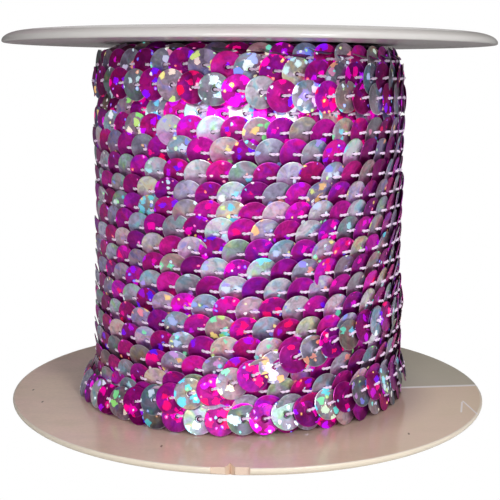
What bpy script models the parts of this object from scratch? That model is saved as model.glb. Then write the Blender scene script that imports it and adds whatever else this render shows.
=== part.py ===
"""Sequin trim wound on a moulded plastic spool.

The spool stands on its lower flange. The origin is on the spool's axis, in the plane that the
lower flange rests on, and +Z runs up the axis. The front, where the tie-off notch is, faces -Y.
Angles round the winding are measured from the front, in degrees, growing towards +X.
"""

import math
from typing import NamedTuple

import bmesh
import bpy
import numpy as np

MM = 0.001

# Spool, in millimetres
FLANGE_RADIUS = 50.8
INNER_WIDTH = 73.8
RIM_THICKNESS = 2.3
WEB_THICKNESS = 1.2
RIM_ROUNDING = 3.2
EDGE_ROUNDING = 0.3
RIM_FOOT_WIDTH = 3.2
WEB_SLOPE = 0.6
HUB_RADIUS = 12.0
BORE_RADIUS = 8.0
BARREL_RADIUS = 15.0
BARREL_WALL = 1.5
FIT_GAP = 0.3
ROUNDING_STEPS = 3
FLANGE_SEGMENTS = 72
BARREL_SEGMENTS = 48
SCREW_MERGE = 0.01

# Tie-off notch in the lower flange's rim, in millimetres
NOTCH_CENTRE_X = -3.0
RELIEF_WIDTH = 6.8
RELIEF_DEPTH = 0.8
SLIT_WIDTH = 1.9
SLIT_LENGTH = 2.5
CUTTER_OVERLAP = 2.0

# Winding, in millimetres
STRAND_RADIUS = 32.0
SEQUIN_RADIUS = 3.05
SEQUIN_TILT = math.radians(12)
LIP_STEP = 0.35
TOP_EDGE_RADIUS = 29.4
STRAND_HALF_WIDTH = 3.2
WINDING_COLUMNS = 60
POINTS_PER_TURN = 2
WELD_DISTANCE = 0.001
SHARP_ANGLE = math.radians(35)

# Finishes: a linear colour, a roughness and a metallic value
PLASTIC_FINISH = ((0.78, 0.72, 0.66), 0.3, 0.0)
TRIM_FINISH = ((0.46, 0.06, 0.34), 0.3, 0.6)

LOWER_FACE = RIM_THICKNESS
UPPER_FACE = RIM_THICKNESS + INNER_WIDTH
SPOOL_HEIGHT = INNER_WIDTH + 2 * RIM_THICKNESS


class Turn(NamedTuple):
    """A turn of the outer layer: its height over the lower flange at the front, and its stand-out."""

    height: float
    stand_out: float


class StrandPoint(NamedTuple):
    """A point on a strand that lies over the outer layer."""

    angle: float
    height: float
    stand_out: float


TURNS = (
    Turn(75.8, -2.6),
    Turn(72.3, -1.7),
    Turn(69.0, -0.2),
    Turn(64.7, 0.6),
    Turn(61.1, -0.7),
    Turn(57.2, 0.3),
    Turn(53.4, 0.1),
    Turn(49.1, 0.0),
    Turn(45.3, 0.0),
    Turn(41.8, 0.0),
    Turn(38.5, 0.0),
    Turn(34.6, 0.0),
    Turn(31.0, 0.0),
    Turn(27.5, 0.1),
    Turn(23.8, 0.2),
    Turn(19.9, 0.3),
    Turn(16.0, 0.4),
    Turn(12.2, 0.5),
    Turn(8.4, 0.6),
    Turn(4.9, 0.8),
    Turn(1.5, 1.2),
    Turn(-2.3, 1.2),
    Turn(-6.0, 1.2),
)

# The last turn climbs from the lower flange across the front and is tucked in at the back.
CLIMBING_STRAND = (
    StrandPoint(-140, 1.5, 2.6),
    StrandPoint(-100, 1.7, 3.6),
    StrandPoint(-80, 1.8, 3.6),
    StrandPoint(-60, 2.3, 3.1),
    StrandPoint(-45, 3.1, 2.5),
    StrandPoint(-28, 5.7, 2.0),
    StrandPoint(-12, 8.6, 1.7),
    StrandPoint(2, 11.6, 1.4),
    StrandPoint(15, 14.6, 1.4),
    StrandPoint(30, 17.5, 1.2),
    StrandPoint(44, 19.2, 1.1),
    StrandPoint(60, 19.7, 1.0),
    StrandPoint(100, 19.9, 0.9),
    StrandPoint(180, 18.3, 0.9),
    StrandPoint(240, 16.4, 0.6),
    StrandPoint(262, 15.6, 0.0),
)

# The turn before it lies on the lower flange and rises to the right.
BOTTOM_STRAND = (
    StrandPoint(-180, 2.3, 1.5),
    StrandPoint(-60, 1.6, 2.2),
    StrandPoint(-40, 2.0, 2.4),
    StrandPoint(-24, 2.6, 2.2),
    StrandPoint(-8, 2.8, 2.0),
    StrandPoint(6, 3.4, 2.0),
    StrandPoint(21, 4.7, 2.0),
    StrandPoint(37, 6.1, 2.0),
    StrandPoint(54, 6.9, 1.8),
    StrandPoint(74, 6.4, 1.8),
    StrandPoint(120, 4.0, 1.6),
    StrandPoint(180, 2.3, 1.5),
)


def clear_scene():
    """Removes every object of the open file."""
    for obj in list(bpy.data.objects):
        bpy.data.objects.remove(obj, do_unlink=True)


def new_collection(name):
    """A collection under the scene's own."""
    collection = bpy.data.collections.new(name)
    bpy.context.scene.collection.children.link(collection)
    return collection


def new_material(name, colour, roughness, metallic):
    """A Principled material with one colour."""
    material = bpy.data.materials.new(name)
    material.use_nodes = True
    shader = material.node_tree.nodes["Principled BSDF"]
    shader.inputs["Base Color"].default_value = (*colour, 1.0)
    shader.inputs["Roughness"].default_value = roughness
    shader.inputs["Metallic"].default_value = metallic
    return material


def object_from(name, build_mesh, collection):
    """An object named name, whose mesh is what bmesh holds once it is closed."""
    mesh = bpy.data.meshes.new(name)
    build_mesh.to_mesh(mesh)
    build_mesh.free()
    obj = bpy.data.objects.new(name, mesh)
    collection.objects.link(obj)
    return obj


def turned(name, section, segments, collection, material):
    """A solid turned about Z from a closed section of (radius, height) points in millimetres.

    The section runs clockwise: outwards along the top, down the outside, back along the bottom.
    """
    outline = bmesh.new()
    corners = [outline.verts.new((r * MM, 0, z * MM)) for r, z in section]
    for start, end in zip(corners, corners[1:] + corners[:1]):
        outline.edges.new((start, end))
    obj = object_from(name, outline, collection)
    obj.data.materials.append(material)
    screw = obj.modifiers.new("turn", "SCREW")
    screw.axis = "Z"
    screw.angle = 2 * math.pi
    screw.steps = segments
    screw.render_steps = segments
    screw.use_merge_vertices = True
    screw.merge_threshold = SCREW_MERGE * MM
    screw.use_smooth_shade = True
    return obj


def flange_section():
    """The lower flange's section: a thin web with a thicker rim, rounded over on its resting side."""
    rim_foot_radius = FLANGE_RADIUS - RIM_ROUNDING
    web_radius = rim_foot_radius - RIM_FOOT_WIDTH
    web_underside = RIM_THICKNESS - WEB_THICKNESS
    shoulder = RIM_THICKNESS - EDGE_ROUNDING
    section = [
        (BORE_RADIUS, RIM_THICKNESS),
        (FLANGE_RADIUS - EDGE_ROUNDING, RIM_THICKNESS),
    ]
    for step in range(ROUNDING_STEPS + 1):
        turn = math.pi / 2 * step / ROUNDING_STEPS
        radius = rim_foot_radius + RIM_ROUNDING * math.cos(turn)
        section.append((radius, shoulder - shoulder * math.sin(turn)))
    section += [
        (web_radius, 0.0),
        (web_radius - WEB_SLOPE, web_underside),
        (HUB_RADIUS + WEB_SLOPE, web_underside),
        (HUB_RADIUS, 0.0),
        (BORE_RADIUS, 0.0),
    ]
    return section


def upside_down(section):
    """The same section at the other end of the spool, still clockwise."""
    return [(r, SPOOL_HEIGHT - z) for r, z in reversed(section)]


def box_cutter(name, low, high, collection):
    """A box between two corners in millimetres."""
    cutter = bmesh.new()
    bmesh.ops.create_cube(cutter, size=1.0)
    for vert in cutter.verts:
        vert.co = [
            ((a + b) / 2 + share * (b - a)) * MM for a, b, share in zip(low, high, vert.co)
        ]
    return hidden_cutter(name, cutter, collection)


def slit_cutter(name, collection):
    """A V-shaped prism through the rim, its point towards the axis."""
    mouth = FLANGE_RADIUS + CUTTER_OVERLAP
    point = FLANGE_RADIUS - SLIT_LENGTH
    mouth_width = SLIT_WIDTH * (mouth - point) / SLIT_LENGTH
    cutter = bmesh.new()
    bmesh.ops.create_cone(cutter, cap_ends=True, segments=3, radius1=1.0, radius2=1.0, depth=1.0)
    farthest = max(vert.co.y for vert in cutter.verts)
    nearest = min(vert.co.y for vert in cutter.verts)
    half_base = max(vert.co.x for vert in cutter.verts)
    for vert in cutter.verts:
        share = (vert.co.y - nearest) / (farthest - nearest)
        vert.co.x = (NOTCH_CENTRE_X + vert.co.x / half_base * mouth_width / 2) * MM
        vert.co.y = -(mouth + share * (point - mouth)) * MM
        vert.co.z *= 2 * (RIM_THICKNESS + CUTTER_OVERLAP) * MM
    return hidden_cutter(name, cutter, collection)


def hidden_cutter(name, cutter, collection):
    """A cutter that takes no part in the picture."""
    bmesh.ops.recalc_face_normals(cutter, faces=cutter.faces)
    obj = object_from(name, cutter, collection)
    obj.hide_render = True
    obj.display_type = "WIRE"
    return obj


def cut(obj, cutter):
    """Takes the cutter's shape out of obj."""
    modifier = obj.modifiers.new(cutter.name, "BOOLEAN")
    modifier.operation = "DIFFERENCE"
    modifier.object = cutter


def build_spool(parts, cutters, plastic):
    """The two flanges and the barrel between them."""
    lower = turned("flange_lower", flange_section(), FLANGE_SEGMENTS, parts, plastic)
    turned("flange_upper", upside_down(flange_section()), FLANGE_SEGMENTS, parts, plastic)
    below, above = LOWER_FACE + FIT_GAP, UPPER_FACE - FIT_GAP
    bore = BARREL_RADIUS - BARREL_WALL
    section = [(bore, above), (BARREL_RADIUS, above), (BARREL_RADIUS, below), (bore, below)]
    turned("barrel", section, BARREL_SEGMENTS, parts, plastic)
    relief = box_cutter(
        "notch_relief",
        (NOTCH_CENTRE_X - RELIEF_WIDTH / 2, -FLANGE_RADIUS - CUTTER_OVERLAP, -CUTTER_OVERLAP),
        (
            NOTCH_CENTRE_X + RELIEF_WIDTH / 2,
            -FLANGE_RADIUS + RELIEF_DEPTH,
            RIM_THICKNESS + CUTTER_OVERLAP,
        ),
        cutters,
    )
    cut(lower, relief)
    cut(lower, slit_cutter("notch_slit", cutters))


def along_turns(turn, values):
    """One value of each turn, read at a turn counted from the first, between turns in proportion."""
    return float(np.interp(turn, range(len(TURNS)), values))


def turn_height(turn):
    """A turn's height over the lower flange."""
    return along_turns(turn, [row.height for row in TURNS])


def turn_radius(turn):
    """A turn's radius at its middle line."""
    return STRAND_RADIUS + along_turns(turn, [row.stand_out for row in TURNS])


def strand_lift(strand, angle, height):
    """How far a strand that lies over the layer raises the surface at a place."""
    angles = [point.angle for point in strand]
    best = 0.0
    for whole_turns in (0, 360):
        place = angle + whole_turns
        if angles[0] <= place <= angles[-1]:
            centre = np.interp(place, angles, [point.height for point in strand])
            stand_out = np.interp(place, angles, [point.stand_out for point in strand])
            across = min(1.0, abs(height - centre) / STRAND_HALF_WIDTH)
            best = max(best, float(stand_out) * (1 - across**2))
    return best


def surface_radius(angle, height, turn, off_centre):
    """The winding's radius where a turn's tilted sequins pass, off_centre above the turn's middle."""
    radius = turn_radius(turn) + off_centre * math.tan(SEQUIN_TILT)
    lifts = [strand_lift(strand, angle, height) for strand in (CLIMBING_STRAND, BOTTOM_STRAND)]
    return radius + max(lifts)


def winding_column(angle):
    """(radius, height) points down the winding's outside at one angle: a lip and a foot for each turn."""
    low, high = FIT_GAP, INNER_WIDTH - FIT_GAP
    lip = SEQUIN_RADIUS * math.cos(SEQUIN_TILT)
    bottom_turn = len(TURNS) - 2
    bottom_radius = surface_radius(angle, low, bottom_turn, 0.0)
    points = []
    for whole in range(len(TURNS) - 1):
        turn = whole + angle / 360
        middle, next_middle = turn_height(turn), turn_height(turn + 1)
        for height in (middle + lip, next_middle + lip + LIP_STEP):
            if height >= high:
                points.append((TOP_EDGE_RADIUS, high))
            elif height <= low:
                points.append((bottom_radius, low))
            else:
                points.append((surface_radius(angle, height, turn, height - middle), height))
    return points


def build_winding(parts, material):
    """One closed solid of the wound trim, its turns running down as a screw thread does.

    Each column of points starts one turn higher than the column after a whole way round, so the
    last column is joined to the first with a shift of one turn.
    """
    solid = bmesh.new()
    columns = []
    bores = []
    step = 360 / WINDING_COLUMNS
    bore_radius = BARREL_RADIUS + FIT_GAP
    for index in range(WINDING_COLUMNS):
        angle = -180 + index * step
        across, away = math.sin(math.radians(angle)), -math.cos(math.radians(angle))
        points = winding_column(angle)
        bore = [(bore_radius, INNER_WIDTH - FIT_GAP), (bore_radius, FIT_GAP)]
        for rows, section in ((columns, points), (bores, bore)):
            rows.append(
                [
                    solid.verts.new((r * across * MM, r * away * MM, (LOWER_FACE + z) * MM))
                    for r, z in section
                ]
            )
    for index in range(WINDING_COLUMNS):
        after = (index + 1) % WINDING_COLUMNS
        shift = POINTS_PER_TURN if after == 0 else 0
        here, there = columns[index], columns[after]
        for level in range(len(here) - 1 - shift):
            corners = (here[level], here[level + 1], there[level + 1 + shift], there[level + shift])
            solid.faces.new(corners)
        solid.faces.new((here[0], there[0], bores[after][0], bores[index][0]))
        solid.faces.new((here[-1], bores[index][1], bores[after][1], there[-1]))
        solid.faces.new((bores[index][0], bores[after][0], bores[after][1], bores[index][1]))
    bmesh.ops.remove_doubles(solid, verts=solid.verts, dist=WELD_DISTANCE * MM)
    bmesh.ops.triangulate(solid, faces=solid.faces)
    bmesh.ops.recalc_face_normals(solid, faces=solid.faces)
    winding = object_from("trim_winding", solid, parts)
    winding.data.materials.append(material)
    winding.data.shade_smooth()
    winding.data.set_sharp_from_angle(angle=SHARP_ANGLE)
    return winding


def main():
    """Builds the spool and the trim wound on it."""
    clear_scene()
    parts = new_collection("sequin_trim_spool")
    cutters = new_collection("cutters")
    plastic = new_material("spool_plastic", *PLASTIC_FINISH)
    trim = new_material("sequin_trim", *TRIM_FINISH)
    build_spool(parts, cutters, plastic)
    build_winding(parts, trim)


main()
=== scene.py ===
"""Looks of the sequin trim on its spool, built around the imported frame.

Every length below is in millimetres unless its name says otherwise, and MM turns it into
Blender's metres. Angles round the winding are measured from the front, growing towards +X.
Heights on the winding are measured from the lower flange's inner face.
"""
import logging
import math
from dataclasses import dataclass, field
from enum import Enum
from typing import Callable, Iterator, NamedTuple, Sequence

import bpy
import numpy as np
from bpy.types import Material, Object
from mathutils import Matrix, Vector


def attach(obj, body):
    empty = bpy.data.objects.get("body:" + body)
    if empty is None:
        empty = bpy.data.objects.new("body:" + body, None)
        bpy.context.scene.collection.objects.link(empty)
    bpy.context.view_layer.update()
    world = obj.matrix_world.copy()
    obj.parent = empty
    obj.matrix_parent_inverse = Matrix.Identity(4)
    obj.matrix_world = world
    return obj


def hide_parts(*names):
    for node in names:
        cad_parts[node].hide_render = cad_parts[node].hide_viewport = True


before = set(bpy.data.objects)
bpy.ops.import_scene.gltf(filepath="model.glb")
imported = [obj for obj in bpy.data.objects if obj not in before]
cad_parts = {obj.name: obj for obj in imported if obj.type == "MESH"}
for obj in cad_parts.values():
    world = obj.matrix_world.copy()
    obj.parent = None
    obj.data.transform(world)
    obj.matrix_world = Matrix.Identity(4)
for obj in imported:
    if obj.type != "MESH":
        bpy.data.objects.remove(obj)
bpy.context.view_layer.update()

MM = 0.001
LOG = logging.getLogger("sequin_trim")
Pair = tuple[float, float]
Place = tuple[float, float, float]
Colour = tuple[float, float, float]
WHITE: Colour = (1.0, 1.0, 1.0)
RIM_THICKNESS = 2.3
INNER_WIDTH = 73.8
SEQUIN_RADIUS = 3.05
NOTCH_CENTRE = -3.0


def tone(red: int, green: int, blue: int) -> Colour:
    """A colour given as 0 to 255 on a screen, as Blender's linear values."""
    shares = [level / 255 for level in (red, green, blue)]
    return tuple(s / 12.92 if s <= 0.04045 else ((s + 0.055) / 1.055) ** 2.4 for s in shares)


# What a shader input takes: a value that varies, or a number.
Level = "Shade | float"


def _operator(operation: str, swapped: bool = False) -> Callable[["Shade", Level], "Shade"]:
    """A method for one of a Shade's operators.

    Args:
        operation: the Math node's operation. A comparison gives 1 where it holds, and else 0.
        swapped: whether the other value comes first.

    Returns:
        The method.
    """

    def method(self: "Shade", other: Level) -> "Shade":
        """The operation on the two values."""
        return self._maths(operation, *((other, self) if swapped else (self, other)))

    return method


class Shade:
    """A shader socket that Python's operators work on, as a number at each point."""

    def __init__(self, board: "NodeBoard", socket: bpy.types.NodeSocket) -> None:
        """Keeps the socket and the board that its node is on."""
        self.board = board
        self.socket = socket

    def _maths(self, operation: str, *values: Level, clamp: bool = False) -> "Shade":
        """A Math node's result from its inputs in order, held between 0 and 1 with clamp."""
        settings = {"operation": operation, "use_clamp": clamp}
        return self.board.node("Math", settings, dict(enumerate(values)))

    __add__ = _operator("ADD")
    __radd__ = _operator("ADD", swapped=True)
    __sub__ = _operator("SUBTRACT")
    __rsub__ = _operator("SUBTRACT", swapped=True)
    __mul__ = _operator("MULTIPLY")
    __rmul__ = _operator("MULTIPLY", swapped=True)
    __gt__ = _operator("GREATER_THAN")
    __lt__ = _operator("LESS_THAN")

    def fraction(self) -> "Shade":
        """What is left over a whole number."""
        return self._maths("FRACT", self)

    def held(self) -> "Shade":
        """The value held between 0 and 1."""
        return self._maths("ADD", self, 0.0, clamp=True)

    def eased(self, low: Level, high: Level) -> "Shade":
        """0 at low and 1 at high, which may be the smaller, with a smooth step between."""
        sockets = {"Value": self, "From Min": low, "From Max": high}
        return self.board.node("MapRange", {"interpolation_type": "SMOOTHSTEP"}, sockets)

    def _vector_maths(self, operation: str, sockets: dict, output: int | str = 0) -> "Shade":
        """A Vector Math node's result, with this vector as its first input."""
        settings = {"operation": operation}
        return self.board.node("VectorMath", settings, {0: self, **sockets}, output)

    def scaled(self, share: Level) -> "Shade":
        """A colour or vector times a number."""
        return self._vector_maths("SCALE", {"Scale": share})

    def moved(self, by: "Shade | Sequence[float]") -> "Shade":
        """A vector plus another."""
        return self._vector_maths("ADD", {1: by})

    def scaled_by(self, shares: Sequence[float]) -> "Shade":
        """A vector times another, part by part."""
        return self._vector_maths("MULTIPLY", {1: shares})

    def length(self) -> "Shade":
        """A vector's length."""
        return self._vector_maths("LENGTH", {}, output="Value")

    def parts(self) -> tuple["Shade", "Shade", "Shade"]:
        """A vector's or colour's three numbers."""
        split = self.board.node("SeparateXYZ", {}, {0: self})
        outputs = split.socket.node.outputs
        return tuple(Shade(self.board, outputs[index]) for index in range(3))

    def mixed(self, other: "Shade | Colour", share: Level) -> "Shade":
        """This colour with a share of another, from 0 to 1."""
        settings = {"data_type": "RGBA", "clamp_factor": True}
        return self.board.node("Mix", settings, {0: share, 6: self, 7: other}, output=2)


class NodeBoard:
    """One material's or world's nodes."""

    def __init__(self, tree: bpy.types.NodeTree) -> None:
        """Takes a node tree over and clears it."""
        self.tree = tree
        self.tree.nodes.clear()

    def node(
        self, kind: str, settings: dict | None = None, sockets: dict | None = None,
        output: int | str = 0,
    ) -> Shade:
        """A new node, with its settings made before its sockets are filled.

        Args:
            kind: the node's type, without the ShaderNode that it begins with.
            settings: the node's own settings. "stops" gives a ramp's (position, colour) pairs.
            sockets: values or Shades for its inputs, by name or index.
            output: which output comes back.

        Returns:
            The output as a Shade.
        """
        made = self.tree.nodes.new("ShaderNode" + kind)
        for name, value in (settings or {}).items():
            if name == "stops":
                self._fill_ramp(made.color_ramp, value)
            else:
                setattr(made, name, value)
        for key, value in (sockets or {}).items():
            socket = made.inputs[key]
            if isinstance(value, Shade):
                self.tree.links.new(value.socket, socket)
            elif socket.type == "RGBA":
                socket.default_value = (*value, 1.0)
            else:
                socket.default_value = value
        return Shade(self, made.outputs[output]) if len(made.outputs) else None

    @staticmethod
    def _fill_ramp(ramp: bpy.types.ColorRamp, stops: Sequence[tuple[float, Colour]]) -> None:
        """Puts a ramp's stops in place of the two that it comes with."""
        while len(ramp.elements) > 1:
            ramp.elements.remove(ramp.elements[-1])
        for index, (position, colour) in enumerate(stops):
            stop = ramp.elements[0] if index == 0 else ramp.elements.new(position)
            stop.position = position
            stop.color = (*colour, 1.0)

    def attribute(self, name: str, output: str = "Vector") -> Shade:
        """A mesh attribute, as a vector or with "Fac" as a number."""
        return self.node("Attribute", {"attribute_name": name}, {}, output)

    def blend(self, first: Colour, second: Colour, share: Shade) -> Shade:
        """A colour that goes from first to second as share goes from 0 to 1."""
        sockets = {0: share, 6: first, 7: second}
        return self.node("Mix", {"data_type": "RGBA"}, sockets, output=2)

    def place(self) -> Shade:
        """The point's place on its object, in millimetres."""
        return self.node("TexCoord", output="Object").scaled(1 / MM)

    def joined(self, *values: Level) -> Shade:
        """A vector from three numbers."""
        return self.node("CombineXYZ", {}, dict(enumerate(values)))

    def noise(
        self, at: Shade, grain: float, detail: float = 2.0, creased: float = 0.0,
        output: str = "Fac",
    ) -> Shade:
        """Soft noise around 0.5, in lumps of grain millimetres, creased as foil is if asked."""
        sockets = {"Vector": at, "Scale": 1 / grain, "Detail": detail, "Distortion": creased}
        return self.node("TexNoise", {}, sockets, output=output)

    def bump(self, height: Shade, strength: float, distance: float) -> Shade:
        """A normal for a surface that rises with height, by up to distance in metres."""
        sockets = {"Strength": strength, "Distance": distance, "Height": height}
        return self.node("Bump", {}, sockets)

    def surface(self, shader: Shade) -> None:
        """Sends a shader to the material's surface."""
        self.node("OutputMaterial", {}, {"Surface": shader})

    def principled(self, sockets: dict) -> None:
        """Sends a Principled shader with these inputs to the material's surface."""
        self.surface(self.node("BsdfPrincipled", {}, sockets))

    def white_to_camera(self, kind: str, cast: Shade) -> Shade:
        """A shader that lights the object as cast does and shows the camera plain white.

        Args:
            kind: the type of the node that is seen.
            cast: the shader that lights the object.

        Returns:
            The two, mixed.
        """
        seen = self.node(kind, {}, {"Color": WHITE, "Strength": 1.0})
        straight = self.node("LightPath", output="Is Camera Ray")
        return self.node("MixShader", {}, {0: straight, 1: cast, 2: seen})


def new_board(name: str) -> tuple[Material, NodeBoard]:
    """A new material and the board of its nodes.

    Args:
        name: the material's name.

    Returns:
        The material and its empty board.
    """
    material = bpy.data.materials.new(name)
    material.use_nodes = True
    return material, NodeBoard(material.node_tree)


def placed(name: str, data: bpy.types.ID) -> Object:
    """A new object with this data, linked to the scene."""
    obj = bpy.data.objects.new(name, data)
    bpy.context.scene.collection.objects.link(obj)
    return obj


def woven_faces(rings: int, sides: int, closed: bool = True) -> list[tuple[int, ...]]:
    """Quads between rings of points that are numbered ring by ring.

    Args:
        rings: how many rings there are.
        sides: how many points each ring has.
        closed: whether the last ring is joined to the first.

    Returns:
        The faces as point numbers.
    """
    faces = []
    for ring in range(rings if closed else rings - 1):
        here, there = ring * sides, (ring + 1) % rings * sides
        for side in range(sides):
            after = (side + 1) % sides
            faces.append((here + side, there + side, there + after, here + after))
    return faces


def mesh_object(
    name: str, points: np.ndarray, faces: Sequence, material: Material,
    smooth_below_deg: float,
) -> Object:
    """An object from points in millimetres.

    Args:
        name: the object's name.
        points: its points.
        faces: its faces as point numbers.
        material: its material.
        smooth_below_deg: edges sharper than this stay sharp.

    Returns:
        The object, in the scene.
    """
    mesh = bpy.data.meshes.new(name)
    mesh.from_pydata((np.asarray(points) * MM).tolist(), [], [tuple(f) for f in faces])
    mesh.materials.append(material)
    mesh.shade_smooth()
    mesh.set_sharp_from_angle(angle=math.radians(smooth_below_deg))
    return placed(name, mesh)


class Film(Enum):
    """The two films that the sequins are punched from."""

    MAGENTA = "magenta_sequin"
    SILVER = "silver_sequin"


@dataclass(frozen=True)
class SequinFilm:
    """Holographic film: metallised colour, with soft patches of painted glint in spectrum colours.

    The sequins' mesh carries three things at each point. "place" is the point's place on its own
    disc and the disc's number. "mood" is the brightness there, with painted shine and shade in it,
    the disc's hue and its sparkle, the share of painted glints. "under" is 1 on discs whose holes
    the row below covers and 0 on those that lie open.
    """

    film: Film
    warm: Colour
    cool: Colour
    # Painted highlight round each disc's edge.
    rim_highlight: Colour
    flashes: tuple[Colour, ...]
    sparks: tuple[Colour, ...]
    # Painted shade tint, a painted reflection of the magenta film in the shade between discs.
    shade_tint: Colour
    veil_share: float
    # Share of white painted glint in the patches of open discs.
    white_glint_share: float
    glint_share: float
    # How dark painted shade makes discs that face sideways, and how much facing front or back
    # adds.
    side_level: float
    front_gain: float
    cloud_size: float = 1.9
    grain_size: float = 0.5
    veil_size: float = 2.4
    bend_size: float = 0.9
    patch_size: float = 2.2
    spark_size: float = 1.15
    spark_share: float = 0.22
    # How much painted highlight the edge ring gets, and the radii that it spans.
    rim_highlight_share: float = 0.34
    rim_highlight_reach: Pair = (2.84, 2.97)
    # How much painted shade tint the overlapped corner and the lower edge get.
    corner_shade_share: float = 0.62
    lower_edge_shade_share: float = 0.6
    metallic: float = 0.78
    roughness: float = 0.37
    # How brightly the painted glints glow by emission.
    glow: float = 0.5

    @staticmethod
    def _flash_cells(
        board: NodeBoard, at: Shade, size: float, shown: Shade, softness: Shade | float
    ) -> tuple[Shade, Shade, Shade]:
        """One layer of soft spots, of which some show.

        Args:
            board: the material's board.
            at: the place on the disc, warped.
            size: the distance between spots.
            shown: the share of the spots that show. They are larger where more of them do.
            softness: how wide a spot's edge is, as a share of size.

        Returns:
            The spots' mask, the mask of their bright middles, and a draw for each spot.
        """
        settings, sockets = {"voronoi_dimensions": "2D"}, {"Vector": at, "Scale": 1 / size}
        cells = board.node("TexVoronoi", settings, sockets, output="Color")
        distance = Shade(board, cells.socket.node.outputs["Distance"])
        chance, draw, width = cells.parts()
        reach = 0.17 + 0.24 * width + 0.16 * shown
        shows = chance < shown
        mask = distance.eased(reach, reach - softness) * shows
        return mask, distance.eased(reach - 0.1, 0.0) * shows, draw

    @staticmethod
    def _spectrum(board: NodeBoard, colours: Sequence[Colour], turn: Shade) -> Shade:
        """Flash colours, run through once as turn grows by one."""
        stops = [(index / len(colours), colour) for index, colour in enumerate(colours)]
        return board.node("ValToRGB", {"stops": stops}, {0: turn.fraction()})

    def material(self) -> Material:
        """The film's material."""
        material, board = new_board(self.film.value)
        across, up, number = board.attribute("place").parts()
        # The brightness holds each disc's random tone, with painted shine and shade.
        brightness, hue, sparkle = board.attribute("mood").parts()
        at = board.joined(across + 13.7 * number, up + 7.9 * number, 0.0)
        bend = board.noise(at, self.bend_size, output="Color").moved((-0.5, -0.5, -0.5))
        clouds = board.noise(at, self.cloud_size, detail=2.0, creased=1.0).eased(0.3, 0.7)
        grain = board.noise(at, self.grain_size, detail=3.0)
        veils = board.noise(at.moved((5.0, 41.0, 0.0)), self.veil_size, detail=1.0, creased=0.6)
        tint = self._spectrum(board, self.flashes, hue + 0.7 * veils)
        under = board.attribute("under", "Fac")
        # Painted shade: darker and tinted where the next disc and the row below overlap each disc.
        corner_shade = across.eased(0.2, 1.7) * up.eased(1.6, -0.7)
        lower_edge_shade = under * up.eased(0.5, -0.8)
        base = board.blend(self.warm, self.cool, (5.0 * hue).fraction())
        base = base.mixed(tint, self.veil_share * veils.eased(0.3, 0.7))
        base = base.mixed(self.shade_tint, self.corner_shade_share * corner_shade)
        base = base.mixed(self.shade_tint, self.lower_edge_shade_share * lower_edge_shade)
        shade = 1.02 - 0.28 * corner_shade - 0.1 * lower_edge_shade
        base = base.scaled(brightness * shade * (0.54 + 0.49 * clouds + 0.5 * grain))
        # Painted glints: patches and sparks of spectrum colour, with white middles.
        patch, _, draw = self._flash_cells(board, at.moved(bend.scaled(1.7)), self.patch_size,
                                           sparkle, 0.08 + 0.1 * under)
        patch_colour = self._spectrum(board, self.flashes, hue + 0.3 * draw)
        patch_colour = patch_colour.mixed(WHITE, self.white_glint_share * (1.0 - under) * (draw > 0.5))
        spark, heart, draw = self._flash_cells(board, at.moved(bend.scaled(0.8)), self.spark_size,
                                               self.spark_share * sparkle, 0.15)
        spark_colour = self._spectrum(board, self.sparks, 3.0 * hue + 0.6 * draw)
        spark_colour = spark_colour.mixed(WHITE, 0.5 * heart)
        radius = board.joined(across, up, 0.0).length()
        # Painted highlight: a lighter ring round each disc's edge.
        colour = base.mixed(self.rim_highlight, self.rim_highlight_share * radius.eased(*self.rim_highlight_reach))
        colour = colour.mixed(patch_colour, 0.8 * patch).mixed(spark_colour, 0.9 * spark)
        # The painted glints also glow by emission, more on brighter discs.
        glow = self.glow * brightness.held() * (1.4 - 0.4 * under)
        flash = patch_colour.scaled(patch * glow).mixed(spark_colour.scaled(1.3 * glow), spark)
        board.principled({
            "Base Color": colour,
            "Metallic": self.metallic,
            "Roughness": self.roughness,
            "Emission Color": flash,
            "Emission Strength": 1.0,
        })
        return material


FILMS = {
    Film.MAGENTA: SequinFilm(
        Film.MAGENTA,
        warm=tone(198, 30, 138),
        cool=tone(178, 26, 164),
        rim_highlight=tone(214, 100, 200),
        shade_tint=tone(140, 12, 120),
        veil_share=0.36,
        white_glint_share=0.0,
        glint_share=0.0,
        side_level=0.8,
        front_gain=0.24,
        flashes=(
            tone(255, 0, 214), tone(150, 0, 255), tone(70, 26, 255), tone(255, 0, 150),
            tone(255, 20, 70), tone(255, 0, 170), tone(190, 10, 255), tone(255, 0, 190),
        ),
        sparks=(
            tone(255, 60, 220), tone(255, 40, 120), tone(255, 220, 70), tone(255, 80, 60),
            tone(255, 0, 200), tone(130, 20, 255), tone(40, 190, 255), tone(230, 240, 255),
            tone(255, 0, 150), tone(60, 60, 255),
        ),
    ),
    Film.SILVER: SequinFilm(
        Film.SILVER,
        warm=tone(206, 184, 198),
        cool=tone(180, 170, 206),
        rim_highlight=tone(236, 232, 238),
        shade_tint=tone(182, 92, 168),
        veil_share=0.5,
        white_glint_share=0.6,
        glint_share=0.1,
        side_level=0.7,
        front_gain=0.34,
        flashes=(
            tone(255, 255, 252), tone(150, 232, 252), tone(84, 212, 252), tone(112, 236, 200),
            tone(140, 232, 116), tone(250, 240, 140), tone(252, 184, 116), tone(248, 136, 156),
            tone(196, 156, 246), tone(116, 136, 252), tone(214, 232, 255),
        ),
        sparks=(
            tone(255, 255, 255), tone(70, 220, 255), tone(120, 250, 160), tone(255, 244, 120),
            tone(255, 255, 255), tone(110, 240, 90), tone(255, 170, 110), tone(90, 120, 255),
            tone(210, 240, 255),
        ),
    ),
}


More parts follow.
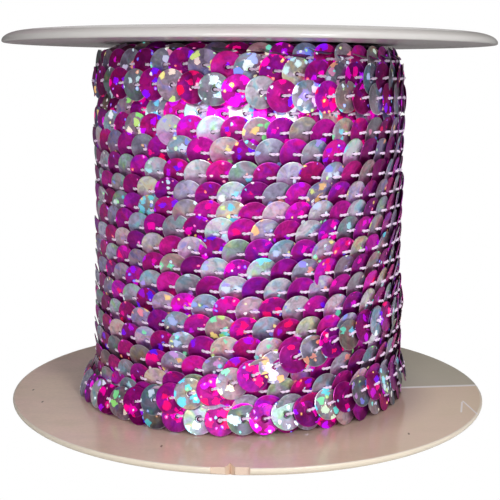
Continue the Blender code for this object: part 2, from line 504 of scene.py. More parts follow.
@dataclass(frozen=True)
class Thread:
    """Two-ply sewing thread, pale lilac, with fine fibres across it, painted shade and a painted
    glow.
    """

    colour: Colour = tone(255, 242, 255)
    # The shaded colour is painted shade, mixed in by the fibres' noise.
    shaded: Colour = tone(200, 154, 214)
    fibre_size: float = 0.12
    # Painted glow: the thread glows a little by emission.
    glow: float = 0.14

    def material(self) -> Material:
        """The thread's material."""
        material, board = new_board("stitching")
        fibres = board.noise(board.place(), self.fibre_size, detail=2.0)
        board.principled({
            "Base Color": board.blend(self.colour, self.shaded, fibres),
            "Roughness": 0.5,
            "Sheen Weight": 0.3,
            "Emission Color": self.colour,
            "Emission Strength": self.glow,
            "Normal": board.bump(fibres, strength=0.4, distance=0.0001),
        })
        return material


@dataclass(frozen=True)
class LowerLayers:
    """What shows between the turns: the layers beneath, in shade, coloured dark as painted shade.
    """

    deep: Colour = tone(98, 40, 98)
    lit: Colour = tone(142, 40, 122)
    grey: Colour = tone(118, 102, 124)
    shard_size: float = 3.4
    grey_chance: float = 0.4

    def material(self) -> Material:
        """The layers' material."""
        material, board = new_board("lower_layers")
        sockets = {"Vector": board.place(), "Scale": 1 / self.shard_size}
        shards = board.node("TexVoronoi", {}, sockets, output="Color")
        chance, level, _ = shards.parts()
        base = board.blend(self.deep, self.lit, level)
        base = base.mixed(self.grey, (chance < self.grey_chance) * 0.6)
        board.principled({"Base Color": base, "Roughness": 0.35, "Metallic": 0.4})
        return material


class Mark(NamedTuple):
    """A straight mark between two (x, y) places on a flange: scratch, speck or painted highlight.
    """

    start: Pair
    end: Pair
    width: float


@dataclass(frozen=True)
class MouldedPlastic:
    """Glossy cream plastic, a little mottled, with specks, scratches and painted shade and light.
    """

    name: str
    cream: Colour = tone(238, 212, 188)
    pink: Colour = tone(240, 206, 192)
    olive: Colour = tone(226, 204, 172)
    # Painted shade for the face behind the back line.
    shaded: Colour = tone(180, 176, 158)
    scratch_and_highlight: Colour = tone(252, 246, 244)
    speck: Colour = tone(104, 84, 66)
    # Painted highlight for the rim's outer edge, and painted light for the rim's outer wall.
    edge: Colour = tone(254, 246, 230)
    wall_light: Colour = tone(252, 240, 218)
    # Painted shade near the winding, tinted purple as a painted reflection of the sequins.
    winding_shade_colour: Colour = tone(164, 132, 130)
    winding_shade: float = 0.0
    mottle: float = 0.12
    flow_size: float = 26.0
    veil_size: float = 11.0
    streak_size: float = 3.6
    pore_size: float = 0.8
    right_reach: Pair = (0.0, 35.0)
    winding_shade_reach: Pair = (43.0, 34.0)
    wall_light_reach: Pair = (47.5, 48.5)
    edge_reach: Pair = (50.2, 50.6)
    back_line: Pair | None = None
    notch: Pair = (NOTCH_CENTRE, 6.9)
    roughness: float = 0.14
    marks: tuple[Mark, ...] = ()
    specks: tuple[Pair, ...] = ()

    @staticmethod
    def _along_mark(board: NodeBoard, across: Shade, away: Shade, mark: Mark) -> Shade:
        """1 on a mark and 0 away from it.

        Args:
            board: the material's board.
            across: the place along X.
            away: the place along Y.
            mark: the mark.

        Returns:
            The mark's mask.
        """
        run = (mark.end[0] - mark.start[0], mark.end[1] - mark.start[1])
        square = run[0] ** 2 + run[1] ** 2
        from_x, from_y = across - mark.start[0], away - mark.start[1]
        share = ((from_x * run[0] + from_y * run[1]) * (1 / square)).held()
        off_x, off_y = from_x - share * run[0], from_y - share * run[1]
        distance = board.joined(off_x, off_y, 0.0).length()
        return distance.eased(0.5 * mark.width + 0.12, 0.5 * mark.width - 0.05)

    def _mottled(self, board: NodeBoard, at: Shade, flow: Shade, pores: Shade) -> Shade:
        """The plastic's own colour, before it is marked.

        Args:
            board: the material's board.
            at: the place on the piece.
            flow: large soft clouds.
            pores: fine noise.

        Returns:
            The colour.
        """
        veil = board.noise(at.moved((90.0, 0.0, 0.0)), self.veil_size, detail=2.0)
        drawn = at.moved((0.0, 0.0, 7.0)).scaled_by((0.5, 1.1, 1.0))
        streaks = board.noise(drawn, self.streak_size, detail=4.0)
        base = board.blend(self.cream, self.pink, flow.eased(0.35, 0.65))
        base = base.mixed(self.olive, 0.55 * veil.eased(0.5, 0.75))
        return base.scaled(1.0 - 0.5 * self.mottle + self.mottle * (0.6 * streaks + 0.4 * pores))

    def material(self, face_height: float) -> Material:
        """The plastic's material.

        Args:
            face_height: the height of the face that carries the marks.

        Returns:
            The material.
        """
        material, board = new_board(self.name)
        at = board.place()
        across, away, height = at.parts()
        radius = board.joined(across, away, 0.0).length()
        rightward = across.eased(*self.right_reach)
        flow = board.noise(at, self.flow_size, detail=3.0)
        pores = board.noise(at, self.pore_size, detail=3.0)
        base = self._mottled(board, at, flow, pores)
        base = base.mixed(self.olive, 0.7 * rightward)
        # Painted shade near the winding, stronger towards +X, tinted as a painted reflection.
        winding_shade = self.winding_shade * (0.6 + 0.5 * rightward) * radius.eased(*self.winding_shade_reach)
        base = base.mixed(self.winding_shade_colour, winding_shade)
        face = height > face_height - 0.15
        wall_light = (height < face_height - 0.05) * radius.eased(*self.wall_light_reach)
        centre, width = self.notch
        from_notch = across - centre
        in_notch = (from_notch * from_notch < 0.25 * width**2) * (away < 0.0)
        # Painted highlight on the rim's outer edge, none in the notch, and painted light on its
        # outer wall.
        edge = 0.85 * radius.eased(*self.edge_reach) * (1.0 - in_notch)
        base = base.mixed(self.edge, edge).mixed(self.wall_light, wall_light * (0.8 - 0.6 * in_notch))
        # Painted shade: the face behind the back line is mixed towards a darker olive grey.
        if self.back_line is not None:
            offset, slope = self.back_line
            behind = (away - slope * across).eased(offset - 0.3, offset + 0.3)
            base = base.mixed(self.shaded, 0.8 * face * behind * across.eased(-10.0, 20.0))
        dots = [Mark(spot, (spot[0] + 0.05, spot[1] + 0.7), 0.3) for spot in self.specks]
        for marks, colour, share in ((self.marks, self.scratch_and_highlight, 0.85), (dots, self.speck, 0.8)):
            for mark in marks:
                on_mark = self._along_mark(board, across, away, mark)
                base = base.mixed(colour, share * face * on_mark)
        board.principled({
            "Base Color": base,
            "Roughness": self.roughness + 0.12 * pores,
            "Normal": board.bump(flow + 0.12 * pores, strength=0.25, distance=0.0002),
            "IOR": 1.49,
        })
        return material


class StrandPlace(NamedTuple):
    """Where the trim's middle line passes, and how its sequins lean there.

    turn counts the passes across the front, and angle is measured from that pass. A positive lean
    tips the tops outwards. shine is painted light: it brightens or dims the film there, for how
    brightly it faces the light.
    """

    turn: int
    angle: float
    height: float
    stand_out: float
    lean: float
    shine: float = 1.0


@dataclass(frozen=True)
class SequinPlace:
    """One sequin's place: its middle in millimetres and its axes along, up and out."""

    number: int
    middle: Vector
    axes: Matrix
    lean: float
    shine: float

    @property
    def film(self) -> Film:
        """The film it is punched from."""
        return Film.MAGENTA if self.number % 2 == 0 else Film.SILVER


# Each row's turn, angle, height, stand-out, lean and, where it isn't 1, shine, a painted
# brightness.
ROUTE = tuple(StrandPlace(*row) for row in (
    (0, -120, 73.2, -4.2, -75, 0.5), (0, 0, 73.0, -3.4, -70, 0.5), (1, -50, 72.0, -2.2, -40, 0.8),
    (1, -5, 71.6, -1.7, -30, 0.8), (1, 20, 70.6, -1.4, -14, 0.85), (1, 60, 70.4, -1.2, -12, 0.85),
    (2, -60, 69.5, -0.3, -2, 0.75), (2, -20, 69.5, -0.2, 3, 0.72), (2, 0, 69.0, -0.2, 3, 0.72),
    (2, 10, 68.3, -0.1, 2, 0.75), (2, 27, 67.2, 0.1, 0, 0.8), (2, 54, 67.1, 0.1, 0, 0.8),
    (3, -60, 66.0, 0.5, 0, 0.9), (3, -14, 65.5, 0.6, 0, 0.9), (3, 5, 64.3, 0.6, 0, 0.9),
    (3, 22, 63.8, 0.6, 0, 0.9), (3, 57, 63.2, 0.5, -2, 0.9), (4, -60, 61.3, -0.7, -12),
    (4, -36, 61.0, -0.8, -14, 2.0), (4, -14, 60.8, -0.9, -14, 2.0), (4, 8, 60.6, -0.9, -14, 1.4),
    (5, 0, 57.2, 0.3, 8), (6, 0, 53.4, 0.1, 12), (7, 0, 49.1, 0.0, 12), (8, 0, 45.3, 0.0, 13),
    (9, 0, 41.8, 0.0, 12), (10, 0, 38.5, 0.0, 12), (11, 0, 34.6, 0.0, 13), (12, 0, 31.0, 0.0, 12),
    (13, 0, 27.5, 0.1, 13), (14, 0, 23.8, 0.2, 12), (15, 0, 19.9, 0.3, 12),
    (16, 0, 16.0, 0.4, 13), (17, 0, 12.2, 0.5, 14), (18, 0, 8.4, 0.6, 14), (19, 0, 4.9, 0.8, 8),
    (20, 0, 3.1, 1.0, -8), (20, 180, 3.0, 1.4, -15), (21, -60, 2.9, 2.2, -20, 0.62),
    (21, -40, 2.9, 2.4, -25, 0.75), (21, -24, 2.9, 2.3, -25, 0.5), (21, -8, 3.0, 2.1, -25, 0.36),
    (21, 6, 3.4, 2.0, -22, 0.42), (21, 21, 4.7, 1.9, -18, 0.5), (21, 37, 6.2, 1.9, -15, 0.7),
    (21, 54, 6.9, 1.8, -12, 0.7), (21, 74, 6.4, 1.8, -12), (21, 120, 4.0, 1.6, -12),
    (21, 180, 3.0, 1.8, -15), (22, -140, 2.9, 2.8, -20), (22, -100, 2.9, 3.5, -22),
    (22, -80, 2.9, 3.5, -22, 1.2), (22, -60, 3.0, 3.2, -20, 1.3), (22, -45, 3.5, 2.6, -16, 1.0),
    (22, -28, 6.1, 2.0, -13, 0.85), (22, -12, 8.8, 1.7, -12, 0.7), (22, 2, 11.7, 1.5, -12, 0.6),
    (22, 15, 14.7, 1.4, -11, 0.6), (22, 30, 17.5, 1.3, -8, 0.75), (22, 44, 19.2, 1.2, -5),
    (22, 60, 19.7, 1.0, 0), (22, 100, 19.9, 0.9, 3), (22, 180, 18.3, 0.9, 6),
    (22, 240, 16.4, 0.6, 8), (22, 262, 15.6, 0.0, 10),
))

# How far the magenta sequin nearest to the front's middle lies right of it, turn by turn.
MAGENTA_OFFSETS = (
    0.0, -2.0, -4.0, -2.2, 3.6, -2.5, -0.1, 3.6, 1.4, 1.0, -0.8, 2.2,
    -1.6, 1.7, -3.6, -0.7, 0.1, -1.6, 2.4, 4.1, -0.9, 3.3, 1.1,
)


@dataclass
class Strand:
    """The trim's middle line as it is wound, from the upper flange down and back up the front."""

    route: tuple[StrandPlace, ...]
    magenta_offsets: tuple[float, ...]
    core_radius: float = 32.0
    base_height: float = RIM_THICKNESS
    inner_width: float = INNER_WIDTH
    sequin_radius: float = SEQUIN_RADIUS
    spacing: float = 4.25
    flange_clearance: float = 0.15
    step_deg: float = 1.0
    chord_deg: float = 1.5

    def __post_init__(self) -> None:
        """Samples the line and counts the sequins along it."""
        angles = [place.turn * 360 + place.angle for place in self.route]
        self.angles = np.arange(angles[0], angles[-1] + self.step_deg, self.step_deg)
        heights, stand_outs, self.leans, self.shines = (
            self._softened(np.interp(self.angles, angles, column))
            for column in list(zip(*self.route))[2:]
        )
        edge = self.sequin_radius * np.cos(np.radians(self.leans)) + self.flange_clearance
        self.heights = np.clip(heights, edge, self.inner_width - edge)
        self.radii = self.core_radius + stand_outs
        turned = np.radians(self.angles)
        self.points = np.stack([
            self.radii * np.sin(turned),
            -self.radii * np.cos(turned),
            self.heights + self.base_height,
        ], axis=1)
        steps = np.linalg.norm(np.diff(self.points, axis=0), axis=1)
        self.lengths = np.concatenate([[0.0], np.cumsum(steps)])
        self.counts = self._counted()

    @staticmethod
    def _softened(values: np.ndarray, reach: int = 9) -> np.ndarray:
        """The values with the corners between the table's rows rounded."""
        kernel = np.hanning(2 * reach + 1)
        padded = np.pad(values, reach, mode="edge")
        return np.convolve(padded, kernel / kernel.sum(), mode="valid")

    def _counted(self) -> np.ndarray:
        """How many sequins have passed at each sample. Even ones are magenta."""
        marks, counts = [], []
        for turn, offset in enumerate(self.magenta_offsets):
            length = float(np.interp(360 * turn, self.angles, self.lengths))
            if not marks:
                counts.append(-offset / self.spacing)
            else:
                guess = counts[-1] + (length - marks[-1]) / self.spacing + offset / self.spacing
                counts.append(2 * round(guess / 2) - offset / self.spacing)
            marks.append(length)
        counted = np.interp(self.lengths, marks, counts)
        before, after = self.lengths < marks[0], self.lengths > marks[-1]
        counted[before] = counts[0] + (self.lengths[before] - marks[0]) / self.spacing
        counted[after] = counts[-1] + (self.lengths[after] - marks[-1]) / self.spacing
        return counted

    def sequin_places(self) -> Iterator[SequinPlace]:
        """The sequins along the line, one after another."""
        first, last = math.ceil(self.counts[0]), math.floor(self.counts[-1])
        for number in range(first, last + 1):
            angle = float(np.interp(number, self.counts, self.angles))
            ahead, behind = self._at(angle + self.chord_deg), self._at(angle - self.chord_deg)
            along = (ahead - behind).normalized()
            turned = math.radians(angle)
            outward = Vector((math.sin(turned), -math.cos(turned), 0.0))
            outward = (outward - outward.dot(along) * along).normalized()
            up = outward.cross(along)
            axes = Matrix((along, up, outward)).transposed()
            lean = float(np.interp(angle, self.angles, self.leans))
            shine = float(np.interp(angle, self.angles, self.shines))
            yield SequinPlace(number, self._at(angle), axes, lean, shine)

    def _at(self, angle: float) -> Vector:
        """The point at an angle, held to the line's ends."""
        return Vector([float(np.interp(angle, self.angles, axis)) for axis in self.points.T])


@dataclass
class SequinShape:
    """A flat punched disc with a raised ring round its hole, pleated where the thread lifts it."""

    radius: float = SEQUIN_RADIUS
    hole_radius: float = 0.42
    crest_radius: float = 0.6
    ring_radius: float = 0.8
    crest_height: float = 0.08
    pressed_height: float = 0.02
    bevel_width: float = 0.12
    bevel_drop: float = 0.04
    thickness: float = 0.12
    hole_height: float = 0.02
    wall_slant: float = 0.03
    pleat_reach: float = 1.2
    smooth_below_deg: float = 14.0
    segments: int = 24

    def template(self, crest_height: float) -> tuple[np.ndarray, np.ndarray]:
        """The flat disc.

        Args:
            crest_height: how high the ring round the hole stands.

        Returns:
            Its points, and its faces as quads of point numbers.
        """
        rings = (
            (self.hole_radius, self.hole_height),
            (self.crest_radius, crest_height),
            (self.ring_radius, 0.0),
            (self.radius - self.bevel_width, 0.0),
            (self.radius, -self.bevel_drop),
            (self.radius - self.wall_slant, -self.thickness),
            (self.hole_radius, -self.thickness),
        )
        turns = np.arange(self.segments) * 2 * math.pi / self.segments
        points = np.concatenate([
            np.stack([r * np.cos(turns), r * np.sin(turns), np.full(self.segments, z)], axis=1)
            for r, z in rings
        ])
        return points, np.array(woven_faces(len(rings), self.segments))

    def bent(self, points: np.ndarray, pleat: float, curl: float, curl_turn: float) -> np.ndarray:
        """The disc as its thread and its neighbours press it.

        Args:
            points: the flat disc's points.
            pleat: the slope of the halves on each side of the ridge that runs left of the hole.
            curl: how much the disc is curled, as a height for each square millimetre.
            curl_turn: the direction of the curl's axis, in radians.

        Returns:
            The bent points.
        """
        across, up = points[:, 0], points[:, 1]
        leftness = np.clip(-across / self.pleat_reach, 0, 1)
        off_axis = across * math.sin(curl_turn) - up * math.cos(curl_turn)
        lift = -np.abs(up) * math.tan(pleat) * leftness - curl * off_axis**2
        return np.stack([across, up, points[:, 2] + lift], axis=1)


@dataclass
class StitchShape:
    """One stitch: two plies laid round each other, from the hole to under the next disc."""

    start: float = -0.34
    open_start: float = -0.13
    end: float = 1.55
    ply_radius: float = 0.185
    ply_offset: float = 0.11
    twists: float = 1.1
    end_slimness: float = 0.55
    mean_rise: float = 0.1
    rise_spread: float = 0.08
    rest_up: float = 0.02
    rest_out: float = 0.04
    arch_height: float = 0.30
    arch_start: float = 0.1
    arch_pace: float = 1.25
    arch_share: float = 0.62
    sink: float = 0.16
    smooth_below_deg: float = 60.0
    sides: int = 5
    steps: int = 8

    def centre_line(self, rise: float, hole_shows: bool) -> np.ndarray:
        """The stitch's middle line on its disc.

        Args:
            rise: how far it climbs towards its right end.
            hole_shows: whether it starts at the hole's right edge and leaves the hole open.

        Returns:
            The points of the line.
        """
        share = np.linspace(0, 1, self.steps + 1)
        start = self.open_start if hole_shows else self.start
        across = start + share * (self.end - start)
        up = self.rest_up + rise * share
        arch = np.clip(share * self.arch_pace + self.arch_start, 0, 1) * math.pi * self.arch_share
        out = self.arch_height * np.sin(arch) - self.sink * (1 - share) ** 4
        return np.stack([across, up, out + self.rest_out], axis=1)

    def mesh(self, rise: float, twist_start: float, hole_shows: bool) -> tuple[np.ndarray, list]:
        """Both plies.

        Args:
            rise: how far the stitch climbs towards its right end.
            twist_start: the angle at which the first ply starts.
            hole_shows: whether it leaves the hole open.

        Returns:
            The points and the faces.
        """
        line = self.centre_line(rise, hole_shows)
        points, faces = [], []
        turns = np.arange(self.sides) * 2 * math.pi / self.sides
        for ply in range(2):
            first = len(points)
            for index, middle in enumerate(line):
                share = index / self.steps
                twist = twist_start + math.pi * ply + 2 * math.pi * self.twists * share
                slim = self.end_slimness if index in (0, self.steps) else 1.0
                centre = middle + self.ply_offset * np.array([0, math.cos(twist), math.sin(twist)])
                for turn in turns:
                    ring = np.array([0, math.cos(turn), math.sin(turn)])
                    points.append(centre + slim * self.ply_radius * ring)
            for face in woven_faces(self.steps + 1, self.sides, closed=False):
                faces.append(tuple(first + corner for corner in face))
            faces.append(tuple(first + side for side in range(self.sides)))
            last = first + self.steps * self.sides
            faces.append(tuple(last + side for side in reversed(range(self.sides))))
        return np.array(points), faces


@dataclass
class SequinTrim:
    """The wound trim: its sequins, its stitches, and the shaded layers beneath."""

    strand: Strand
    sequin: SequinShape = field(default_factory=SequinShape)
    stitch: StitchShape = field(default_factory=StitchShape)
    row_tilt_deg: float = 7.0
    tilt_spread_deg: float = 1.8
    lean_spread_deg: float = 2.0
    roll_spread_deg: float = 3.0
    spot_spread: float = 0.1
    pleat_deg: float = 1.5
    pleat_spread_deg: float = 2.6
    curl_spread: float = 0.009
    open_below_deg: float = 6.0
    pattern_count: int = 997
    level_spread: float = 0.25
    # Painted glint on some silver discs, and the lean below which a disc shows few painted glints.
    glint: float = 1.6
    flat_below_deg: float = -30.0
    layer_columns: int = 144
    layer_rows: int = 110
    layer_margin: float = 0.4
    layer_bore: float = 16.0
    layer_depth: float = 1.35
    groove_slope: float = 0.12
    groove_reach: float = 2.0
    covered_turns: float = 20.5
    layer_smooth_deg: float = 40.0
    seed: int = 11

    def build(self) -> list[Object]:
        """Builds every piece of the trim.

        Returns:
            The pieces.
        """
        draws = np.random.default_rng(self.seed)
        ringed, quads = self.sequin.template(self.sequin.crest_height)
        pressed, _ = self.sequin.template(self.sequin.pressed_height)
        heaps = {film: ([], [], [], []) for film in Film}
        stitch_points, stitch_faces, stitched = [], [], 0
        for place in self.strand.sequin_places():
            hole_shows = place.lean < self.open_below_deg
            turned = self._turned(place, draws)
            shift = Vector(draws.normal(0, self.spot_spread, 3).tolist())
            spot = np.array(place.middle + place.axes @ shift)
            disc = self._bent_disc(ringed if hole_shows else pressed, draws)
            pattern = np.full(len(disc), float(place.number % self.pattern_count))
            points, places, moods, covers = heaps[place.film]
            points.append(disc @ turned.T + spot)
            places.append(np.column_stack([disc[:, :2], pattern]))
            moods.append(self._mood(disc, place, hole_shows, draws))
            covers.append(np.full(len(disc), 0.0 if hole_shows else 1.0))
            rise = float(draws.normal(self.stitch.mean_rise, self.stitch.rise_spread))
            line, faces = self.stitch.mesh(rise, float(draws.uniform(0, 6.3)), hole_shows)
            stitch_points.append(line @ turned.T + spot)
            stitch_faces += [tuple(corner + stitched for corner in face) for face in faces]
            stitched += len(line)
        pieces = [self._film_piece(film, heap, quads) for film, heap in heaps.items()]
        thread = mesh_object("stitches", np.concatenate(stitch_points), stitch_faces,
                             Thread().material(), self.stitch.smooth_below_deg)
        pieces += [thread, self._lower_layers()]
        for piece in pieces:
            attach(piece, "root")
        return pieces

    def _film_piece(
        self, film: Film, heap: tuple[list[np.ndarray], ...], quads: np.ndarray
    ) -> Object:
        """One film's discs as one piece.

        Args:
            film: the film.
            heap: the discs' points, and "place", "mood" and "under" at those points.
            quads: one disc's faces.

        Returns:
            The piece.
        """
        points, *rest = heap
        faces = np.concatenate([quads + index * len(disc) for index, disc in enumerate(points)])
        piece = mesh_object(
            film.name.lower() + "_sequins", np.concatenate(points), faces.tolist(),
            FILMS[film].material(), self.sequin.smooth_below_deg,
        )
        kinds = (("place", "FLOAT_VECTOR", "vector"), ("mood", "FLOAT_VECTOR", "vector"),
                 ("under", "FLOAT", "value"))
        for (name, kind, key), rows in zip(kinds, rest):
            attribute = piece.data.attributes.new(name, kind, "POINT")
            attribute.data.foreach_set(key, np.concatenate(rows).astype(np.float32).ravel())
        return piece

    def _turned(self, place: SequinPlace, draws: np.random.Generator) -> np.ndarray:
        """A sequin's axes once it leans and lies over its left neighbour.

        Args:
            place: the sequin's place on the strand.
            draws: the random draws.

        Returns:
            A 3 by 3 array whose columns are the disc's own axes.
        """
        turns = (
            ("X", place.lean, self.lean_spread_deg),
            ("Y", self.row_tilt_deg, self.tilt_spread_deg),
            ("Z", 0.0, self.roll_spread_deg),
        )
        axes = place.axes
        for axis, degrees, spread in turns:
            axes = axes @ Matrix.Rotation(math.radians(degrees + draws.normal(0, spread)), 3, axis)
        return np.array(axes)

    def _bent_disc(self, flat: np.ndarray, draws: np.random.Generator) -> np.ndarray:
        """One disc with its own pleat and curl."""
        pleat = math.radians(max(0.0, draws.normal(self.pleat_deg, self.pleat_spread_deg)))
        curl = abs(draws.normal(0.0, self.curl_spread))
        return self.sequin.bent(flat, pleat, curl, draws.uniform(0, math.pi))

    def _mood(
        self, disc: np.ndarray, place: SequinPlace, hole_shows: bool, draws: np.random.Generator
    ) -> np.ndarray:
        """What the film's material reads at a disc's points, with painted shine and shade.

        Args:
            disc: the bent disc's points.
            place: the sequin's place on the strand.
            hole_shows: whether the row below leaves its hole open.
            draws: the random draws.

        Returns:
            The brightness with its painted shine and shade, the hue and the sparkle at each point.
        """
        film = FILMS[place.film]
        facing = place.axes.col[2].normalized().y ** 2
        # Painted light: each row's shine scales its discs, and discs that face sideways are
        # darker.
        level = place.shine * float(np.clip(draws.lognormal(0.0, self.level_spread), 0.6, 1.7))
        level *= film.side_level + film.front_gain * facing
        # Painted glint: some covered silver discs are made much brighter.
        if film.glint_share and not hole_shows and draws.random() < film.glint_share:
            level *= self.glint
        # Painted sheen: the brightness slopes across each disc in a random direction.
        slope = draws.normal((-0.03, 0.03), 0.045)
        brightness = level * np.clip(1 + disc[:, :2] @ slope, 0.5, 1.6)
        sparkle = draws.beta(3.2, 1.5) if hole_shows else draws.beta(1.4, 2.2)
        # Fewer painted glints where discs face sideways or lie flat under the upper flange.
        seen = (0.12 + 0.88 * facing) ** (0.5 if place.shine > 1 else 1.0)
        if place.lean < self.flat_below_deg:
            seen *= 0.2
        sparkle = min(float(sparkle), 0.95) * seen
        hue = float(draws.random())
        return np.column_stack([brightness, np.full(len(disc), hue), np.full(len(disc), sparkle)])

    def _lower_layers(self) -> Object:
        """The body beneath the outer turns, which stands for the CAD's winding."""
        columns, rows = self.layer_columns, self.layer_rows
        heights = np.linspace(self.layer_margin, self.strand.inner_width - self.layer_margin, rows)
        levels = heights + self.strand.base_height
        points = []
        for angle in np.arange(columns) * 360 / columns:
            across, away = math.sin(math.radians(angle)), -math.cos(math.radians(angle))
            section = [*zip(self._depth_below(angle, heights), levels)]
            section += [(self.layer_bore, levels[-1]), (self.layer_bore, levels[0])]
            points += [(radius * across, radius * away, level) for radius, level in section]
        piece = mesh_object("lower_layers", np.array(points), woven_faces(columns, rows + 2),
                            LowerLayers().material(), self.layer_smooth_deg)
        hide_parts("trim_winding")
        return piece

    def _depth_below(self, angle: float, heights: np.ndarray) -> np.ndarray:
        """The layers' radius at one angle, ribbed as the turns above them are.

        Args:
            angle: the angle round the winding, in degrees.
            heights: the heights at which it is wanted.

        Returns:
            The radius at each height.
        """
        strand = self.strand
        inside = strand.angles <= self.covered_turns * 360
        passes = (strand.angles[inside] - angle) / 360
        near = np.abs(passes - np.round(passes)) < 0.5 * strand.step_deg / 360 + 1e-9
        levels, radii = strand.heights[inside][near], strand.radii[inside][near]
        order = np.argsort(levels)
        levels, radii = levels[order], radii[order]
        base = np.interp(heights, levels, radii) - self.layer_depth
        nearest = np.abs(heights[:, None] - levels[None, :]).min(axis=1)
        return base - self.groove_slope * np.clip(nearest, 0, self.groove_reach)


@dataclass
class Spool:
    """The moulded spool: two turned flanges, finer than the frame's, and the barrel between."""

    flange_radius: float = 50.8
    inner_width: float = INNER_WIDTH
    rim_thickness: float = RIM_THICKNESS
    web_thickness: float = 1.2
    rim_rounding: float = 4.8
    edge_rounding: float = 0.3
    edge_margin: float = 0.2
    rim_foot_width: float = 3.2
    web_slope: float = 0.6
    hub_radius: float = 12.0
    bore_radius: float = 8.0
    notch_centre: float = NOTCH_CENTRE
    relief_width: float = 6.8
    relief_depth: float = 0.8
    relief_flare: float = 0.5
    slit_width: float = 2.5
    slit_length: float = 2.8
    cutter_overlap: float = 2.0
    smooth_below_deg: float = 35.0
    segments: int = 240
    edge_steps: int = 5
    rounding_steps: int = 12

    def build(self) -> list[Object]:
        """Builds the flanges and dresses the barrel.

        Returns:
            The two flanges.
        """
        lower_plastic = MouldedPlastic(
            "spool_plastic_lower",
            marks=(
                # Painted highlight: a pale line along the edge of the painted shade behind the
                # back line.
                Mark((32.0, -2.1), (51.0, 0.3), 1.1),
                Mark((45.1, -12.0), (43.6, -18.7), 0.3),
                Mark((45.4, -11.3), (46.6, -19.9), 0.3),
            ),
            specks=((-15.9, -40.0), (30.9, -32.4), (-42.9, -13.8), (-46.5, -5.4)),
            # The face behind this line gets painted shade.
            back_line=(-6.2, 0.125),
            # Painted shade near the winding.
            winding_shade=0.56,
            mottle=0.34,
        ).material(self.rim_thickness)
        upper_plastic = MouldedPlastic(
            "spool_plastic_upper",
            cream=tone(222, 218, 214),
            pink=tone(224, 210, 213),
            olive=tone(214, 210, 206),
            edge=tone(222, 219, 216),
        ).material(self.rim_thickness)
        section = self._section()
        lower = self._turned("flange_lower_moulded", section, lower_plastic)
        self._cut_notch(lower)
        height = self.inner_width + 2 * self.rim_thickness
        flipped = [(radius, height - level) for radius, level in reversed(section)]
        upper = self._turned("flange_upper_moulded", flipped, upper_plastic)
        for piece, node in ((lower, "flange_lower"), (upper, "flange_upper")):
            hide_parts(node)
            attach(piece, "root")
        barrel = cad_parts["barrel"]
        barrel.data.materials.clear()
        barrel.data.materials.append(upper_plastic)
        return [lower, upper]

    def _section(self) -> list[Pair]:
        """The lower flange's section, clockwise, as (radius, height) points."""
        rim_foot = self.flange_radius - self.rim_rounding
        web = rim_foot - self.rim_foot_width
        underside = self.rim_thickness - self.web_thickness
        shoulder = self.rim_thickness - self.edge_rounding
        shoulder_radius = self.flange_radius - self.edge_rounding
        section = [(self.bore_radius, self.rim_thickness),
                   (self.bore_radius + self.edge_margin, self.rim_thickness),
                   (shoulder_radius - self.edge_margin, self.rim_thickness)]
        for step in range(self.edge_steps + 1):
            turn = math.pi / 2 * step / self.edge_steps
            section.append((
                self.flange_radius - self.edge_rounding * (1 - math.sin(turn)),
                self.rim_thickness - self.edge_rounding * (1 - math.cos(turn)),
            ))
        for step in range(1, self.rounding_steps + 1):
            turn = math.pi / 2 * step / self.rounding_steps
            section.append((rim_foot + self.rim_rounding * math.cos(turn),
                            shoulder - shoulder * math.sin(turn)))
        section += [
            (web, 0.0),
            (web - self.web_slope, underside),
            (self.hub_radius + self.web_slope, underside),
            (self.hub_radius, 0.0),
            (self.bore_radius, 0.0),
        ]
        return section

    def _turned(self, name: str, section: Sequence[Pair], material: Material) -> Object:
        """A solid turned about the axis from a closed section.

        Args:
            name: the object's name.
            section: its (radius, height) points, clockwise.
            material: its material.

        Returns:
            The object.
        """
        points = []
        for segment in range(self.segments):
            turn = 2 * math.pi * segment / self.segments
            points += [(r * math.cos(turn), r * math.sin(turn), z) for r, z in section]
        quads = woven_faces(self.segments, len(section))
        faces = [(here, below, below_after, after) for here, after, below_after, below in quads]
        return mesh_object(name, np.array(points), faces, material, self.smooth_below_deg)

    def _cut_notch(self, flange: Object) -> None:
        """Cuts the tie-off notch out of a flange's front rim.

        Args:
            flange: the flange.
        """
        outside = self.flange_radius + self.cutter_overlap
        point = self.flange_radius - self.slit_length
        half_mouth = 0.5 * self.slit_width * (outside - point) / self.slit_length
        half_relief = 0.5 * self.relief_width
        relief_back = self.flange_radius - self.relief_depth
        outlines = (
            [(-half_relief - self.relief_flare, -outside),
             (half_relief + self.relief_flare, -outside),
             (half_relief, -relief_back), (-half_relief, -relief_back)],
            [(-half_mouth, -outside), (half_mouth, -outside), (0.0, -point)],
        )
        for outline in outlines:
            cutter = self._prism([(x + self.notch_centre, y) for x, y in outline])
            change = flange.modifiers.new("notch", "BOOLEAN")
            change.operation = "DIFFERENCE"
            change.object = cutter
            graph = bpy.context.evaluated_depsgraph_get()
            cut = bpy.data.meshes.new_from_object(flange.evaluated_get(graph))
            flange.modifiers.clear()
            flange.data = cut
            bpy.data.objects.remove(cutter)
        flange.data.shade_smooth()
        flange.data.set_sharp_from_angle(angle=math.radians(self.smooth_below_deg))

    def _prism(self, outline: Sequence[Pair]) -> Object:
        """A prism through the rim over a flat outline.

        Args:
            outline: the (x, y) places round it.

        Returns:
            The prism, in the scene.
        """
        levels = (self.rim_thickness + self.cutter_overlap, -self.cutter_overlap)
        corners = range(len(outline))
        faces = woven_faces(2, len(outline), closed=False)
        faces += [tuple(corners), tuple(corner + len(outline) for corner in reversed(corners))]
        mesh = bpy.data.meshes.new("notch_cutter")
        mesh.from_pydata([(x * MM, y * MM, z * MM) for z in levels for x, y in outline], [], faces)
        return placed("notch_cutter", mesh)


class Lamp(NamedTuple):
    """A square soft light: its place, what it points at, its side's length and its watts."""

    name: str
    spot: Place
    aim: Place
    side: float
    power: float


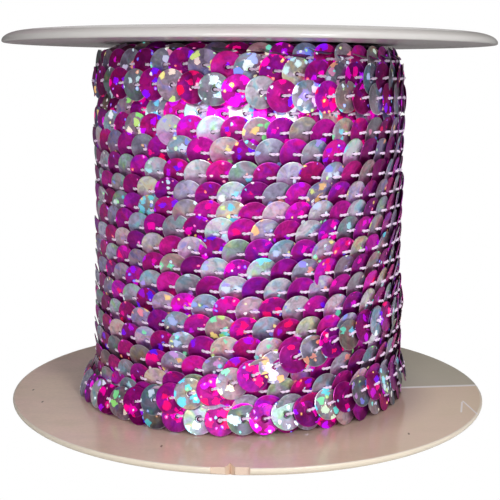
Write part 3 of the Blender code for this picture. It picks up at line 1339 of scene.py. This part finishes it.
@dataclass
class Studio:
    """The pale floor, the soft light and the camera at the photograph's place."""

    camera_distance: float = 226.8
    camera_height: float = 70.6
    pitch_deg: float = 9.55
    roll_deg: float = 0.33
    lens: float = 76.39
    sensor: float = 36.0
    shift: float = 0.003
    clip_start_m: float = 0.01
    floor_side: float = 6000.0
    floor_drop: float = 0.02
    floor_tone: Colour = (0.84, 0.84, 0.84)
    backdrop_tone: Colour = (1.0, 0.985, 0.97)
    ambient: float = 0.085
    lamps: tuple[Lamp, ...] = (
        Lamp("right_key", (350, -610, 400), (0, 0, 35), 170, 2.35),
        Lamp("left_key", (-120, -650, 340), (0, 0, 35), 260, 1.75),
        Lamp("floor_fill", (0, -620, 30), (0, 0, 35), 300, 0.4),
        Lamp("top_light", (280, -120, 700), (0, 0, 40), 300, 0.7),
        Lamp("back_light", (0, 700, 435), (0, 0, 435), 440, 0.4),
    )

    def build(self) -> None:
        """Makes the floor, the world, the lights and the camera."""
        self._floor()
        self._world()
        for lamp in self.lamps:
            self._light(lamp)
        self._camera()
        bpy.context.scene.view_settings.view_transform = "Standard"

    def _floor(self) -> None:
        """The pale floor that the spool stands on."""
        half = self.floor_side / 2 * MM
        mesh = bpy.data.meshes.new("floor")
        corners = [(-half, -half, 0), (half, -half, 0), (half, half, 0), (-half, half, 0)]
        mesh.from_pydata(corners, [], [(0, 1, 2, 3)])
        floor = placed("floor", mesh)
        floor.location.z = -self.floor_drop * MM
        material, board = new_board("pale_floor")
        cast = board.node("BsdfDiffuse", {}, {"Color": self.floor_tone})
        board.surface(board.white_to_camera("Emission", cast))
        mesh.materials.append(material)

    def _world(self) -> None:
        """A white backdrop that lights the object more softly than it shows."""
        world = bpy.data.worlds.new("studio")
        world.use_nodes = True
        bpy.context.scene.world = world
        board = NodeBoard(world.node_tree)
        sockets = {"Color": self.backdrop_tone, "Strength": self.ambient}
        cast = board.node("Background", {}, sockets)
        mixed = board.white_to_camera("Background", cast)
        board.node("OutputWorld", {}, {"Surface": mixed})

    @staticmethod
    def _light(lamp: Lamp) -> None:
        """Hangs one soft light up.

        Args:
            lamp: its sizes and its place.
        """
        data = bpy.data.lights.new(lamp.name, "AREA")
        data.size = lamp.side * MM
        data.energy = lamp.power
        light = placed(lamp.name, data)
        light.location = Vector(lamp.spot) * MM
        ray = Vector(lamp.aim) - Vector(lamp.spot)
        light.rotation_euler = ray.to_track_quat("-Z", "Y").to_euler()

    def _camera(self) -> None:
        """The camera, rolled and pitched as the photograph's."""
        pitch, roll = math.radians(self.pitch_deg), math.radians(self.roll_deg)
        ahead = Vector((0, math.cos(pitch), -math.sin(pitch)))
        level_up = Vector((0, math.sin(pitch), math.cos(pitch)))
        level_right = Vector((1, 0, 0))
        right = math.cos(roll) * level_right + math.sin(roll) * level_up
        up = -math.sin(roll) * level_right + math.cos(roll) * level_up
        data = bpy.data.cameras.new("camera")
        data.lens = self.lens
        data.sensor_width = self.sensor
        data.shift_x = self.shift
        data.clip_start = self.clip_start_m
        camera = placed("camera", data)
        axes = Matrix((right, up, -ahead)).transposed().to_4x4()
        spot = Vector((0, -self.camera_distance, self.camera_height)) * MM
        camera.matrix_world = Matrix.Translation(spot) @ axes
        bpy.context.scene.camera = camera


def report(pieces: Sequence[Object]) -> None:
    """Logs each piece with its triangles."""
    for piece in pieces:
        triangles = sum(len(face.vertices) - 2 for face in piece.data.polygons)
        LOG.info("%s: %d triangles", piece.name, triangles)


def main() -> None:
    """Builds the studio, the spool and the trim."""
    logging.basicConfig(level=logging.INFO, format="%(name)s %(message)s")
    Studio().build()
    report(Spool().build())
    strand = Strand(ROUTE, MAGENTA_OFFSETS)
    report(SequinTrim(strand).build())


if __name__ == "__main__":
    main()
